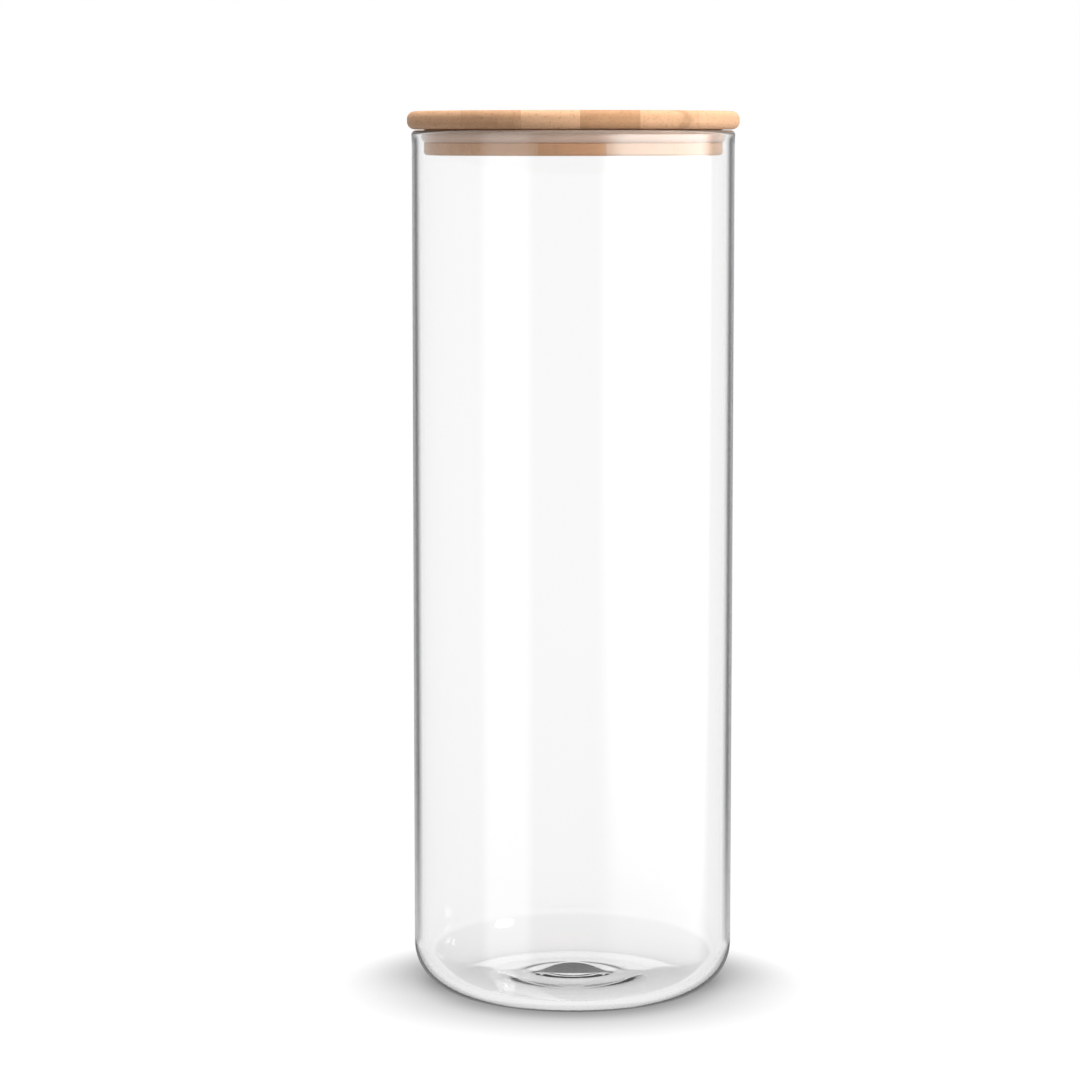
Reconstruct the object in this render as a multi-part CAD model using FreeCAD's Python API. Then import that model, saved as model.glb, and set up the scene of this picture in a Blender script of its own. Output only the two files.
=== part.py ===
"""Lidded glass canister: a tall straight glass body and a push-in bamboo lid with a silicone seal.

Millimetres, +Z up.  The origin is the middle of the circle that the body stands on, and +Z is the
axis of every piece.  Each piece is a solid of revolution, so it is drawn as a half section in the
XZ plane and turned about +Z.
"""
import FreeCAD, Part
import math
import os

# Glass body: one blown tube, closed at the foot and fire polished at the mouth
BODY_DIAMETER = 100.0
BODY_HEIGHT = 270.0
WALL = 2.5
BASE_THICKNESS = 3.0
FOOT_RADIUS = 15.0         # outer round between the wall and the base
STAND_RING_WIDTH = 6.0     # flat ring that the body stands on, inside the foot's round
PUSH_UP = 1.0              # how far the middle of the underside is pushed up
SPOT_RADIUS = 16.0         # thick spot in the middle of the floor, where the tube was closed
SPOT_HEIGHT = 3.4
LIP_SWELL = 0.16           # how far the fire-polished lip stands proud of the wall
LIP_FADE = 3.0             # height over which the swell runs out into the wall

# Lid: a bamboo disc that lies over the mouth, and a bamboo plug board glued under it
SEAT_GAP = 0.3             # between the disc and the lip when the lid is on
DISC_OVERHANG = 1.5        # disc beyond the wall, all round
DISC_THICKNESS = 5.6
DISC_ROUND = 2.4           # round on both edges of the disc
PLUG_DEPTH = 8.0
PLUG_CLEARANCE = 1.2       # between the plug and the bore
PLUG_ROUND = 0.8           # round on the plug's lower edge
LEDGE_ROUND = 0.4          # round on the edge of the ledge under the seal

# Seal: a silicone ring in the groove between the disc and the plug's ledge
SEAL_HEIGHT = 4.2
SEAL_BAND = 2.3            # radial thickness of the band that fills the groove
SEAL_CLEARANCE = 0.2       # between the seal's lip and the bore
SEAL_LIP_HEIGHT = 1.8      # height of the lip's fullest part above the plug's ledge

body_radius = BODY_DIAMETER / 2
bore_radius = body_radius - WALL
disc_radius = body_radius + DISC_OVERHANG
disc_bottom = BODY_HEIGHT + SEAT_GAP
disc_top = disc_bottom + DISC_THICKNESS
plug_radius = bore_radius - PLUG_CLEARANCE
plug_bottom = disc_bottom - PLUG_DEPTH
groove_radius = plug_radius - SEAL_BAND
ledge_height = disc_bottom - SEAL_HEIGHT
seal_lip_radius = bore_radius - SEAL_CLEARANCE


def point(radius, height):
    """A point of a half section."""
    return FreeCAD.Vector(radius, 0, height)


def line(start, end):
    return Part.LineSegment(point(*start), point(*end)).toShape()


def arc(start, middle, end):
    return Part.Arc(point(*start), point(*middle), point(*end)).toShape()


def round_corner(centre, radius, from_angle, to_angle):
    """Arc about a centre, between two angles in degrees counted from straight outwards."""
    def at(angle):
        turn = math.radians(angle)
        return centre[0] + radius * math.cos(turn), centre[1] + radius * math.sin(turn)
    return arc(at(from_angle), at((from_angle + to_angle) / 2), at(to_angle))


def ogee(inner, outer):
    """Two equal arcs from a higher inner point down to an outer point, level at both ends."""
    span, drop = outer[0] - inner[0], inner[1] - outer[1]
    radius = (span ** 2 + drop ** 2) / (4 * drop)
    half_turn = math.asin(span / 2 / radius) / 2
    across, down = radius * math.sin(half_turn), radius * (1 - math.cos(half_turn))
    middle = (inner[0] + span / 2, inner[1] - drop / 2)
    return [
        arc(inner, (inner[0] + across, inner[1] - down), middle),
        arc(middle, (outer[0] - across, outer[1] + down), outer),
    ]


def belly(fullest, end):
    """Arc from the fullest point of a swelling section, where it runs upright, in to its end."""
    inset, rise = fullest[0] - end[0], end[1] - fullest[1]
    radius = (inset ** 2 + rise ** 2) / (2 * inset)
    half_turn = math.asin(rise / radius) / 2
    across, up = radius * (1 - math.cos(half_turn)), radius * math.sin(half_turn)
    return arc(fullest, (fullest[0] - across, fullest[1] + up), end)


def turned(edges):
    """The solid that a closed half section sweeps in one turn about +Z."""
    section = Part.Face(Part.Wire(Part.__sortEdges__(edges)))
    return section.revolve(FreeCAD.Vector(0, 0, 0), FreeCAD.Vector(0, 0, 1), 360)


def glass_body():
    """Tube with a rounded foot, a pushed-up base with a thick middle, and a rounded lip."""
    foot_centre = (body_radius - FOOT_RADIUS, FOOT_RADIUS)
    inner_foot_radius = FOOT_RADIUS - WALL
    inner_foot_centre = (foot_centre[0], BASE_THICKNESS + inner_foot_radius)
    push_up_radius = foot_centre[0] - STAND_RING_WIDTH
    lip_radius = (WALL + LIP_SWELL) / 2
    lip_centre = (bore_radius + lip_radius, BODY_HEIGHT - lip_radius)
    underside = (0, PUSH_UP)
    plateau = BASE_THICKNESS + PUSH_UP
    spot_top = (0, plateau + SPOT_HEIGHT)
    outside = ogee(underside, (push_up_radius, 0)) + [
        line((push_up_radius, 0), (foot_centre[0], 0)),
        round_corner(foot_centre, FOOT_RADIUS, -90, 0),
        line((body_radius, FOOT_RADIUS), (body_radius, lip_centre[1] - LIP_FADE)),
        line((body_radius, lip_centre[1] - LIP_FADE), (lip_centre[0] + lip_radius, lip_centre[1])),
        round_corner(lip_centre, lip_radius, 0, 180),
    ]
    inside = [
        line((bore_radius, lip_centre[1]), (bore_radius, inner_foot_centre[1])),
        round_corner(inner_foot_centre, inner_foot_radius, 0, -90),
        line((foot_centre[0], BASE_THICKNESS), (push_up_radius, BASE_THICKNESS)),
    ] + ogee((SPOT_RADIUS, plateau), (push_up_radius, BASE_THICKNESS))
    inside += ogee(spot_top, (SPOT_RADIUS, plateau))
    return turned(outside + inside + [line(spot_top, underside)])


def lid_disc():
    """Flat disc with both edges well rounded."""
    inner = disc_radius - DISC_ROUND
    low, high = disc_bottom + DISC_ROUND, disc_top - DISC_ROUND
    return turned([
        line((0, disc_bottom), (inner, disc_bottom)),
        round_corner((inner, low), DISC_ROUND, -90, 0),
        line((disc_radius, low), (disc_radius, high)),
        round_corner((inner, high), DISC_ROUND, 0, 90),
        line((inner, disc_top), (0, disc_top)),
        line((0, disc_top), (0, disc_bottom)),
    ])


def lid_plug():
    """Board that goes into the mouth, with a rebate above its ledge for the seal."""
    inner = plug_radius - PLUG_ROUND
    low, high = plug_bottom + PLUG_ROUND, ledge_height - LEDGE_ROUND
    return turned([
        line((0, plug_bottom), (inner, plug_bottom)),
        round_corner((inner, low), PLUG_ROUND, -90, 0),
        line((plug_radius, low), (plug_radius, high)),
        round_corner((plug_radius - LEDGE_ROUND, high), LEDGE_ROUND, 0, 90),
        line((plug_radius - LEDGE_ROUND, ledge_height), (groove_radius, ledge_height)),
        line((groove_radius, ledge_height), (groove_radius, disc_bottom)),
        line((groove_radius, disc_bottom), (0, disc_bottom)),
        line((0, disc_bottom), (0, plug_bottom)),
    ])


def lid_seal():
    """Ring that fills the groove and bellies out to the bore."""
    fullest = (seal_lip_radius, ledge_height + SEAL_LIP_HEIGHT)
    foot = (plug_radius - LEDGE_ROUND, ledge_height)
    head = (plug_radius - LEDGE_ROUND, disc_bottom)
    return turned([
        line((groove_radius, ledge_height), foot),
        belly(fullest, foot),
        belly(fullest, head),
        line(head, (groove_radius, disc_bottom)),
        line((groove_radius, disc_bottom), (groove_radius, ledge_height)),
    ])


os.makedirs("parts", exist_ok=True)
for piece in (glass_body, lid_disc, lid_plug, lid_seal):
    solid = piece()
    solid.exportStep(f"parts/{piece.__name__}.step")
    box = solid.BoundBox
    print(f"{piece.__name__}: {solid.ShapeType}, valid {solid.isValid()}, {solid.Volume / 1000:.1f} cm3, "
          f"z {box.ZMin:.2f} to {box.ZMax:.2f}, width {box.XLength:.2f}")
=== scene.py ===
"""Looks of a lidded glass canister: a tall clear glass body and a bamboo lid with a silicone seal.

Every piece is turned work, so each is drawn as half an outline beside the axis and spun about it.
Metres, +Z up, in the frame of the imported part.
"""
import math
import bpy
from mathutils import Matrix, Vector


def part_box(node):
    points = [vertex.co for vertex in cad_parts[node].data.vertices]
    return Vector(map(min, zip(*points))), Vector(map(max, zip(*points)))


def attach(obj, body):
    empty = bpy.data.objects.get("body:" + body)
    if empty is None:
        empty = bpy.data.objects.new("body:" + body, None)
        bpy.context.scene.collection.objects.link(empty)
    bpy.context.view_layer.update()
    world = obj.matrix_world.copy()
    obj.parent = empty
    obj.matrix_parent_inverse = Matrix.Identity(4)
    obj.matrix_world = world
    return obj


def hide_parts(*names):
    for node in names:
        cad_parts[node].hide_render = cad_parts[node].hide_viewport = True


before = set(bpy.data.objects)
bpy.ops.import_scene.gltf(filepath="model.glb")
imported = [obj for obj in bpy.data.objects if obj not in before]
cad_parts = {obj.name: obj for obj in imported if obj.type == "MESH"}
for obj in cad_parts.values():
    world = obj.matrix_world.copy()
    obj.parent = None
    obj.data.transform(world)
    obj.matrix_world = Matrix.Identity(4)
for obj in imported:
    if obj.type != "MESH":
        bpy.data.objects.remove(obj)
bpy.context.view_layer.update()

MM = 0.001
AXIS = (0, 0, 1)


# ---------------------------------------------------------------- drawing and turning

class Lathe:
    """Draws half an outline beside the +Z axis, then spins it into a closed piece."""

    def __init__(self, name, start):
        bpy.ops.object.select_all(action="DESELECT")
        bpy.ops.mesh.primitive_plane_add(size=MM, location=(0, 0, 0))
        self.piece = bpy.context.object
        self.piece.name = self.piece.data.name = name
        bpy.ops.object.mode_set(mode="EDIT")
        bpy.ops.mesh.select_mode(type="VERT")
        bpy.ops.mesh.select_all(action="SELECT")
        bpy.ops.mesh.merge(type="CENTER")
        bpy.ops.transform.translate(value=(start[0], 0, start[1]))
        self.at = start

    def line(self, *points):
        """Runs straight to each point in turn."""
        for radius, height in points:
            move = (radius - self.at[0], 0, height - self.at[1])
            bpy.ops.mesh.extrude_vertices_move(TRANSFORM_OT_translate={"value": move})
            self.at = (radius, height)
        return self

    def arc(self, centre, turn, steps):
        """Turns about a centre by an angle in degrees, anticlockwise as drawn with +X right and +Z up."""
        angle = math.radians(turn)
        bpy.ops.mesh.spin(steps=steps, angle=angle, center=(centre[0], 0, centre[1]), axis=(0, 1, 0))
        across, up = self.at[0] - centre[0], self.at[1] - centre[1]
        self.at = (centre[0] + across * math.cos(angle) - up * math.sin(angle),
                   centre[1] + across * math.sin(angle) + up * math.cos(angle))
        return self

    def ogee(self, end, steps):
        """Two equal arcs to a point at another height, level at both ends."""
        span, rise = end[0] - self.at[0], end[1] - self.at[1]
        radius = (span ** 2 + rise ** 2) / (4 * abs(rise))
        side = math.copysign(1, rise)
        turn = math.degrees(math.asin(abs(span) / 2 / radius)) * side * math.copysign(1, span)
        self.arc((self.at[0], self.at[1] + side * radius), turn, steps)
        return self.arc((end[0], end[1] - side * radius), -turn, steps)

    def spin(self, steps=256):
        """Spins the outline into a whole piece with smooth faces that point outwards."""
        bpy.ops.mesh.select_all(action="SELECT")
        bpy.ops.mesh.spin(steps=steps, angle=math.tau, center=(0, 0, 0), axis=AXIS)
        bpy.ops.mesh.select_all(action="SELECT")
        bpy.ops.mesh.remove_doubles(threshold=0.001 * MM)
        bpy.ops.mesh.normals_make_consistent(inside=False)
        bpy.ops.object.mode_set(mode="OBJECT")
        bpy.ops.object.shade_smooth()
        return self.piece


# ---------------------------------------------------------------- shader maths

class Field:
    """A shader value that can be used in sums: an expression on fields adds its own Math nodes."""

    def __init__(self, recipe, socket):
        self.recipe, self.socket = recipe, socket

    def maths(self, operation, *others):
        inputs = dict(enumerate((self, *others)))
        return self.recipe.node("Math", {"operation": operation}, inputs)

    def __add__(self, other):
        return self.maths("ADD", other)

    def __radd__(self, other):
        return self + other

    def __sub__(self, other):
        return self.maths("SUBTRACT", other)

    def __rsub__(self, other):
        return self * -1 + other

    def __mul__(self, other):
        return self.maths("MULTIPLY", other)

    def __rmul__(self, other):
        return self * other

    def __truediv__(self, other):
        return self.maths("DIVIDE", other)

    def __pow__(self, other):
        return self.maths("POWER", other)

    def __abs__(self):
        return self.maths("ABSOLUTE")


class Recipe:
    """The node tree of a material or of the world, made one node at a time."""

    def __init__(self, owner):
        owner.use_nodes = True
        self.tree = owner.node_tree
        self.tree.nodes.clear()

    def node(self, kind, settings=None, inputs=None, output=0):
        """Makes a node, its settings first and then its sockets, and returns one of its outputs."""
        made = self.tree.nodes.new("ShaderNode" + kind)
        for name, value in (settings or {}).items():
            setattr(made, name, value)
        for name, value in (inputs or {}).items():
            if isinstance(value, Field):
                self.tree.links.new(value.socket, made.inputs[name])
            else:
                made.inputs[name].default_value = value
        return Field(self, made.outputs[output]) if made.outputs else made

    def colours(self, factor, low, high):
        """A colour between two, by a factor from 0 to 1."""
        return self.node("Mix", {"data_type": "RGBA"}, {0: factor, 6: low, 7: high}, 2)

    def blend(self, factor, low, high):
        """A number between two, by a factor from 0 to 1."""
        return self.node("Mix", {"data_type": "FLOAT"}, {0: factor, 2: low, 3: high})

    def noise(self, vector, scale, detail):
        return self.node("TexNoise", inputs={"Vector": vector, "Scale": scale, "Detail": detail})

    def ramp(self, value, start, end, low=0.0, high=1.0):
        """Runs smoothly from low to high while the value goes from start to end."""
        inputs = {"Value": value, "From Min": start, "From Max": end, "To Min": low, "To Max": high}
        return self.node("MapRange", {"interpolation_type": "SMOOTHSTEP"}, inputs)

    def place(self, scale=None):
        """Where a point of the piece is, in metres, or stretched by a scale on each axis."""
        position = self.node("TexCoord", output="Object")
        return self.node("Mapping", inputs={"Vector": position, "Scale": scale}) if scale else position

    def axes(self, vector):
        """The three parts of a vector."""
        return [self.node("SeparateXYZ", inputs={"Vector": vector}, output=axis) for axis in "XYZ"]


def finish_for(name):
    material = bpy.data.materials.new(name)
    return material, Recipe(material)


# ---------------------------------------------------------------- sizes

WALL = 2.5 * MM
BASE_THICKNESS = 3.0 * MM
FOOT_RADIUS = 15 * MM
STAND_RING_WIDTH = 6 * MM
PUSH_UP = 1.0 * MM
SPOT_RADIUS = 16 * MM
SPOT_HEIGHT = 3.4 * MM
LIP_SWELL = 0.16 * MM
LIP_FADE = 3 * MM
DISC_ROUND = 2.4 * MM
PLUG_ROUND = 0.8 * MM
LEDGE_ROUND = 0.4 * MM
SEAL_LIP_HEIGHT = 1.8 * MM
SEAL_BAND = 2.3 * MM

glass_low, glass_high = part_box("glass_body")
disc_low, disc_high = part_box("lid_disc")
plug_low, plug_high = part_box("lid_plug")
seal_low, seal_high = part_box("lid_seal")
body_radius = glass_high.x - LIP_SWELL
bore_radius = body_radius - WALL

GLASS_IOR = 1.47
GLASS_TINT = (0.981, 0.981, 0.981, 1)
PAINTED_OUTLINE_COLOUR = (0.02, 0.02, 0.02, 1)
# painted shade on the lip under the lid
LIP_PAINTED_SHADE = (0.62, 0.52, 0.44, 1)
RIPPLE = (60, 60, 6)            # waves per metre: long ones along +Z, the way the tube is drawn
# the painted dark outline, by how square on the glass is seen: 1 in the middle of the body, 0 at its very
# edge
PAINTED_OUTLINE_INNER = (0.33, 0.215)      # from clear to darkest
PAINTED_OUTLINE_OUTER = (0.06, 0.225)      # and from clear again at the very edge
PAINTED_OUTLINE_DEPTH = (0.3, 0.74)        # how dark it gets, at the foot and well above it
PAINTED_OUTLINE_FINER_AT_FOOT = 2.6               # how much finer it is at the foot

# painted light: the warmth of the wood seen through the clear rubber
SILICONE_PAINTED_WARMTH = (0.93, 0.66, 0.51, 1)
SILICONE_PAINTED_WARMTH_DULL = (0.85, 0.59, 0.45, 1)
SILICONE_IOR = 1.41

DISC_PALE = (0.79, 0.47, 0.275, 1)
DISC_TAN = (0.555, 0.30, 0.155, 1)
PLUG_PALE = (0.74, 0.47, 0.29, 1)
PLUG_TAN = (0.68, 0.33, 0.14, 1)
FLECK = (0.30, 0.13, 0.05, 1)
KNUCKLE = (0.33, 0.16, 0.07, 1)
GLUE = (0.30, 0.15, 0.07, 1)
KNUCKLE_SPACING = 180 * MM


# ---------------------------------------------------------------- finishes

def clear_glass():
    """Water-clear drawn glass: smooth but for the faint ripple of drawn tube, and dark along its outline.

    Where the wall is seen nearly edge on, a dark matt shader is mixed in by how edge on it is seen:
    the dark outline is painted shade.
    """
    material, recipe = finish_for("clear_glass")
    ripple = recipe.noise(recipe.place(scale=RIPPLE), 1.0, 1.0)
    normal = recipe.node("Bump", inputs={"Height": ripple, "Strength": 0.02, "Distance": 0.2 * MM})
    glass = recipe.node("BsdfPrincipled", inputs={
        "Base Color": GLASS_TINT, "Roughness": 0.0, "IOR": GLASS_IOR,
        "Transmission Weight": 1.0, "Normal": normal})
    # the dark matt shader of the painted outline
    rim = recipe.node("BsdfDiffuse", inputs={"Color": PAINTED_OUTLINE_COLOUR})
    x, y, z = recipe.axes(recipe.place())
    # only the outer face has the painted outline: it lies a foot's radius from the middle of the foot's
    # round
    out = ((x * x + y * y) ** 0.5 - (body_radius - FOOT_RADIUS)).maths("MAXIMUM", 0.0)
    down = (FOOT_RADIUS - z).maths("MAXIMUM", 0.0)
    outside = ((out * out + down * down) ** 0.5).maths("GREATER_THAN", FOOT_RADIUS - WALL / 2)
    going_in = 1 - recipe.node("NewGeometry", output="Backfacing")
    square_on = 1 - recipe.node("LayerWeight", inputs={"Blend": 0.5}, output="Facing")
    # the painted outline is drawn finer at the foot, where the glass turns a tight round
    square_on = square_on * recipe.ramp(z, 1.3 * FOOT_RADIUS, 0.6 * FOOT_RADIUS, 1.0, PAINTED_OUTLINE_FINER_AT_FOOT)
    edge = recipe.ramp(square_on, *PAINTED_OUTLINE_INNER) * recipe.ramp(square_on, *PAINTED_OUTLINE_OUTER)
    below_lip = recipe.ramp(z, glass_high.z - LIP_FADE, glass_high.z - 0.3 * LIP_FADE, 1.0, 0.0)
    painted_outline_depth = recipe.ramp(z, 0.0, 5 * FOOT_RADIUS, *PAINTED_OUTLINE_DEPTH)
    edge = edge * outside * going_in * below_lip * painted_outline_depth
    # painted shade: the dark matt shader is mixed in along the outline
    surface = recipe.node("MixShader", inputs={0: edge, 1: glass, 2: rim})
    # painted shade: a brownish matt band on the lip, for its shaded look under the lid
    painted_lip_shade = recipe.node("BsdfDiffuse", inputs={"Color": LIP_PAINTED_SHADE})
    lip = recipe.ramp(z, glass_high.z - WALL * 0.6, glass_high.z - WALL * 0.2, 0.0, 0.4)
    surface = recipe.node("MixShader", inputs={0: lip, 1: surface, 2: painted_lip_shade})
    recipe.node("OutputMaterial", inputs={"Surface": surface})
    return material


def bamboo(name, strip_width, joint_at, seed, pale, tan):
    """Board of bamboo strips glued side by side: each strip has its own tone, fibres and knuckles.

    The strips run along +Y, and one of the glued joints lies at joint_at on the X axis.
    """
    material, recipe = finish_for(name)
    x, y, z = recipe.axes(recipe.place())
    # counted from far outside the board, so that no strip has a number below zero
    count = x / strip_width + (20 - joint_at / strip_width)
    strip = count.maths("FLOOR")
    across = count.maths("FRACT")
    tone = recipe.node("TexWhiteNoise", {"noise_dimensions": "1D"}, {"W": strip + seed})
    # each strip is cut from another cane, so its fibres start somewhere else
    shifted = recipe.node("CombineXYZ", inputs={"X": x + strip * 0.37, "Y": y + tone * 0.61, "Z": z})

    def fibres(across_scale, along_scale, detail):
        stretched = recipe.node("Mapping", inputs={
            "Vector": shifted, "Scale": (across_scale, along_scale, across_scale)})
        return recipe.noise(stretched, 1.0, detail)

    fine, streaks, clouds = fibres(1500, 14, 3.0), fibres(420, 5, 2.0), fibres(70, 9, 1.0)
    # a knuckle every so often along each cane, wavering a little
    along = (y + tone * 0.9 + streaks * 0.003) / KNUCKLE_SPACING
    knuckle = recipe.ramp(abs(along.maths("FRACT") - 0.5), 0.0, 0.013, 1.0, 0.0)
    joint = recipe.ramp(abs(across - 0.5), 0.4925, 0.498)
    shade = tone * 0.75 + streaks * 0.45 + clouds * 0.25 - 0.225
    board = recipe.colours(recipe.ramp(shade, 0.1, 0.95), pale, tan)
    flecks = recipe.ramp(fine, 0.54, 0.72)
    board = recipe.colours(flecks * 0.32, board, FLECK)
    board = recipe.colours(knuckle * 0.45, board, KNUCKLE)
    board = recipe.colours(joint * 0.25, board, GLUE)
    height = fine * -0.6 - flecks * 0.5 - joint * 0.8 + knuckle * 0.5
    normal = recipe.node("Bump", inputs={"Height": height, "Strength": 0.25, "Distance": 0.15 * MM})
    surface = recipe.node("BsdfPrincipled", inputs={
        "Base Color": board, "Roughness": 0.46 + fine * 0.2, "Normal": normal, "Specular IOR Level": 0.35})
    recipe.node("OutputMaterial", inputs={"Surface": surface})
    return material


def clear_silicone():
    """Soft translucent rubber, with the glow of the wood behind it painted into its colour."""
    material, recipe = finish_for("clear_silicone")
    dust = recipe.noise(recipe.place(), 900.0, 3.0)
    cloudy = recipe.noise(recipe.place(), 60.0, 1.0)
    # the warm tone is painted light from the wood behind the rubber
    colour = recipe.colours(cloudy, SILICONE_PAINTED_WARMTH, SILICONE_PAINTED_WARMTH_DULL)
    surface = recipe.node("BsdfPrincipled", inputs={
        "Base Color": colour, "Roughness": 0.25 + dust * 0.25,
        "IOR": SILICONE_IOR, "Transmission Weight": 0.2})
    recipe.node("OutputMaterial", inputs={"Surface": surface})
    return material


# ---------------------------------------------------------------- pieces

def glass_vessel():
    """One-piece tube with a rounded foot, a pushed-up base, a thick spot inside it and a full-round lip."""
    rim = glass_high.z
    foot = (body_radius - FOOT_RADIUS, FOOT_RADIUS)
    inner_foot = (foot[0], BASE_THICKNESS + FOOT_RADIUS - WALL)
    ring = foot[0] - STAND_RING_WIDTH
    lip_radius = (WALL + LIP_SWELL) / 2
    lip = (bore_radius + lip_radius, rim - lip_radius)
    plateau = BASE_THICKNESS + PUSH_UP
    pen = Lathe("glass_vessel", (0, PUSH_UP)).ogee((ring, 0), 10).line((foot[0], 0)).arc(foot, 90, 16)
    pen.line((body_radius, lip[1] - LIP_FADE), (lip[0] + lip_radius, lip[1])).arc(lip, 180, 16)
    pen.line((bore_radius, inner_foot[1])).arc(inner_foot, -90, 16).line((ring, BASE_THICKNESS))
    pen.ogee((SPOT_RADIUS, plateau), 8).ogee((0, plateau + SPOT_HEIGHT), 8)
    return pen.spin(288)


def bamboo_disc():
    """Flat disc with both edges well rounded."""
    inner = disc_high.x - DISC_ROUND
    pen = Lathe("bamboo_disc", (0, disc_low.z)).line((inner, disc_low.z))
    pen.arc((inner, disc_low.z + DISC_ROUND), 90, 10).line((disc_high.x, disc_high.z - DISC_ROUND))
    pen.arc((inner, disc_high.z - DISC_ROUND), 90, 10).line((0, disc_high.z))
    return pen.spin()


def bamboo_plug():
    """Board that goes into the mouth, with a rebate above its ledge for the seal."""
    inner, ledge = plug_high.x - PLUG_ROUND, seal_low.z
    groove = plug_high.x - SEAL_BAND
    pen = Lathe("bamboo_plug", (0, plug_low.z)).line((inner, plug_low.z))
    pen.arc((inner, plug_low.z + PLUG_ROUND), 90, 6).line((plug_high.x, ledge - LEDGE_ROUND))
    pen.arc((plug_high.x - LEDGE_ROUND, ledge - LEDGE_ROUND), 90, 4).line((groove, ledge))
    pen.line((groove, plug_high.z), (0, plug_high.z))
    return pen.spin()


def silicone_ring():
    """Band that fills the groove, with a belly that reaches out to the bore."""
    groove, edge = plug_high.x - SEAL_BAND, plug_high.x - LEDGE_ROUND
    belly = seal_high.x - edge
    fullest = seal_low.z + SEAL_LIP_HEIGHT
    pen = Lathe("silicone_ring", (groove, seal_low.z)).line((edge, seal_low.z))
    for rise in (fullest - seal_low.z, seal_high.z - fullest):
        radius = (belly ** 2 + rise ** 2) / (2 * belly)
        pen.arc((seal_high.x - radius, fullest), math.degrees(math.asin(rise / radius)), 8)
    pen.line((groove, seal_high.z), (groove, seal_low.z))
    return pen.spin()


def fit(piece, body, node, material):
    """Gives a piece its finish and puts it in the place of a CAD node."""
    piece.data.materials.append(material)
    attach(piece, body)
    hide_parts(node)


# the seeds are picked for the order of pale and tan strips along each edge
fit(glass_vessel(), "canister", "glass_body", clear_glass())
fit(bamboo_disc(), "lid", "lid_disc", bamboo(
    "bamboo_disc", strip_width=17.75 * MM, joint_at=2.1 * MM, seed=44320, pale=DISC_PALE, tan=DISC_TAN))
fit(bamboo_plug(), "lid", "lid_plug", bamboo(
    "bamboo_plug", strip_width=19.8 * MM, joint_at=9.6 * MM, seed=24563, pale=PLUG_PALE, tan=PLUG_TAN))
fit(silicone_ring(), "lid", "lid_seal", clear_silicone())


# ---------------------------------------------------------------- floor, light and camera

FLOOR_RADIUS = 0.7
FLOOR_BOUNCE = 0.45             # what it throws back on the canister
FLOOR_SHOWN = 1.03              # how bright it looks where nothing shades it
# the painted shadow on the floor: how deep, how far and how it leans
DEEPEST_PAINTED_SHADE = 0.25
PAINTED_SHADE_REACH = 28 * MM         # reach of the shade round the foot
PAINTED_SHADE_TURN = (-20 * MM, 45 * MM)
PAINTED_SHADE_IN_FRONT, PAINTED_SHADE_BEHIND = 0.7, 1.85

TENT_REFLECTED = 0.5            # brightness of the tent in reflections
BRIGHT_WINDOW, DIM_WINDOW = 9, 2.0   # and what each window adds to it
# where each window fades in and out: degrees to the right of the camera's side, then height as a sine
BRIGHT_LEFT, BRIGHT_RIGHT = (16, 38), (119, 99)
BRIGHT_BOTTOM, BRIGHT_TOP = (-0.32, -0.06), (0.2, 0.02)
DIM_LEFT, DIM_RIGHT = (-72, -60), (-26, -36)
AMBIENT = 0.33                  # light of the tent on a matt face
AMBIENT_INSIDE = 0.9            # and on one that has glass before it
CEILING_FADE, CEILING_THROUGH_GLASS = (0.08, 0.16), 0.12
FLOOR_FADE, FLOOR_THROUGH_GLASS = (-0.3, -0.12), 0.93


def floor():
    """White round floor that glows for the camera, with a painted shadow round where the canister stands.

    It throws back less light than it shows.
    """
    bpy.ops.object.select_all(action="DESELECT")
    bpy.ops.mesh.primitive_circle_add(vertices=128, radius=FLOOR_RADIUS, fill_type="NGON")
    piece = bpy.context.object
    piece.name = "floor"
    material, recipe = finish_for("pale_floor")
    board = recipe.node("BsdfDiffuse", inputs={"Color": (FLOOR_BOUNCE, FLOOR_BOUNCE, FLOOR_BOUNCE, 1)})
    occlusion_for_painted_shadow = recipe.node("AmbientOcclusion", {"samples": 16}, {"Distance": PAINTED_SHADE_REACH}, "AO")
    # painted shadow: lighter in front of the middle and deeper beyond it
    x, y, z = recipe.axes(recipe.place())
    shade = (1 - occlusion_for_painted_shadow) * recipe.ramp(y, *PAINTED_SHADE_TURN, PAINTED_SHADE_IN_FRONT, PAINTED_SHADE_BEHIND)
    strength = (FLOOR_SHOWN - shade).maths("MAXIMUM", DEEPEST_PAINTED_SHADE)
    # the floor glows as the camera sees it, darkened by the painted shadow
    floor_glow_with_painted_shadow = recipe.node("Emission", inputs={"Color": (1, 1, 1, 1), "Strength": strength})
    seen = recipe.node("LightPath", output="Is Camera Ray")
    surface = recipe.node("MixShader", inputs={0: seen, 1: board, 2: floor_glow_with_painted_shadow})
    recipe.node("OutputMaterial", inputs={"Surface": surface})
    piece.data.materials.append(material)
    piece.visible_transmission = False
    piece.visible_glossy = False


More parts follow.
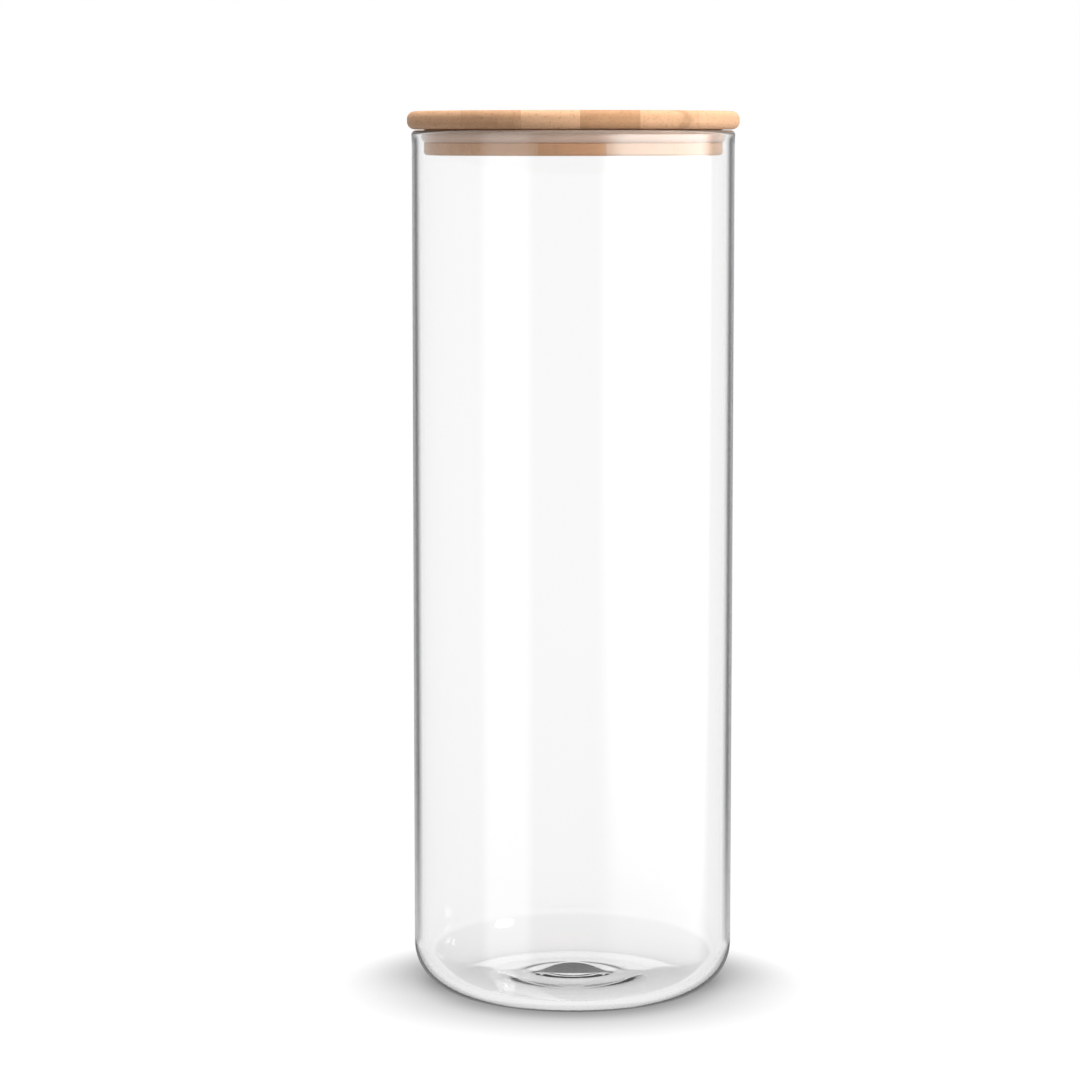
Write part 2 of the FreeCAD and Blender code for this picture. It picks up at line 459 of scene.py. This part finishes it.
def surroundings():
    """White tent with a bright window on the right and a dim one on the left, for reflections only.

    A matt face gets an even light from all round.  Through glass there is no window to see, but a
    darker ceiling, which the thick middle of the base picks up.
    """
    world = bpy.data.worlds.new("light_tent")
    bpy.context.scene.world = world
    world.cycles.sampling_method = "NONE"
    recipe = Recipe(world)
    x, y, z = recipe.axes(recipe.node("TexCoord", output="Generated"))
    # degrees to the right of the side that the camera stands on
    around = x.maths("ARCTAN2", y * -1) / math.radians(1)
    bright = recipe.ramp(around, *BRIGHT_LEFT) * recipe.ramp(around, *BRIGHT_RIGHT)
    bright = bright * recipe.ramp(z, *BRIGHT_BOTTOM) * recipe.ramp(z, *BRIGHT_TOP)
    dim = recipe.ramp(around, *DIM_LEFT) * recipe.ramp(around, *DIM_RIGHT)
    reflected = TENT_REFLECTED + bright * BRIGHT_WINDOW + dim * DIM_WINDOW
    through = recipe.ramp(z, *CEILING_FADE, 1.0, CEILING_THROUGH_GLASS)
    through = through * recipe.ramp(z, *FLOOR_FADE, FLOOR_THROUGH_GLASS, 1.0)
    path = {name: recipe.node("LightPath", output=name)
            for name in ("Is Camera Ray", "Is Transmission Ray", "Diffuse Depth")}
    level = recipe.blend(path["Is Transmission Ray"], reflected, through)
    soft = recipe.blend(path["Is Transmission Ray"], AMBIENT, AMBIENT_INSIDE)
    level = recipe.blend(path["Diffuse Depth"].maths("GREATER_THAN", 0.5), level, soft)
    level = recipe.blend(path["Is Camera Ray"], level, 1.0)
    background = recipe.node("Background", inputs={"Color": (1, 1, 1, 1), "Strength": level})
    recipe.node("OutputWorld", inputs={"Surface": background})


def soft_light(name, place, aim, size, power):
    """Round area lamp that lights the scene but has no mirror image in it."""
    light = bpy.data.lights.new(name, "AREA")
    light.shape, light.size, light.energy = "DISK", size, power
    lamp = bpy.data.objects.new(name, light)
    bpy.context.scene.collection.objects.link(lamp)
    lamp.location = place
    lamp.rotation_euler = (Vector(aim) - Vector(place)).to_track_quat("-Z", "Y").to_euler()
    lamp.visible_transmission = False
    lamp.visible_glossy = False
    return lamp


def only_for(lamp, *names):
    """Lets a lamp light the named pieces and nothing else."""
    lit = bpy.data.collections.new(lamp.name + "_reach")
    for name in names:
        lit.objects.link(bpy.data.objects[name])
    lamp.light_linking.receiver_collection = lit


CAMERA_DISTANCE, CAMERA_HEIGHT = 1.135, 0.2664
LOOK_DOWN, LOOK_ASIDE = math.radians(6.24), math.radians(0.52)
SENSOR, LENS = 36, 121.3


def camera():
    lens = bpy.data.cameras.new("camera")
    lens.sensor_width, lens.lens = SENSOR, LENS
    eye = bpy.data.objects.new("camera", lens)
    eye.location = (0, -CAMERA_DISTANCE, CAMERA_HEIGHT)
    eye.rotation_euler = (math.pi / 2 - LOOK_DOWN, 0, LOOK_ASIDE)
    bpy.context.scene.collection.objects.link(eye)
    bpy.context.scene.camera = eye


floor()
surroundings()
soft_light("overhead", place=(0, 0, 1.6), aim=(0, 0, 0), size=1.4, power=24)
key = soft_light("key", place=(1.6, -1.0, 0.7), aim=(0, 0, 0.2), size=0.55, power=30)
# the plug and the seal get this light through the glass
key.visible_transmission = True
only_for(key, "bamboo_disc", "bamboo_plug", "silicone_ring", "glass_vessel")
camera()
bpy.context.scene.view_settings.view_transform = "Standard"
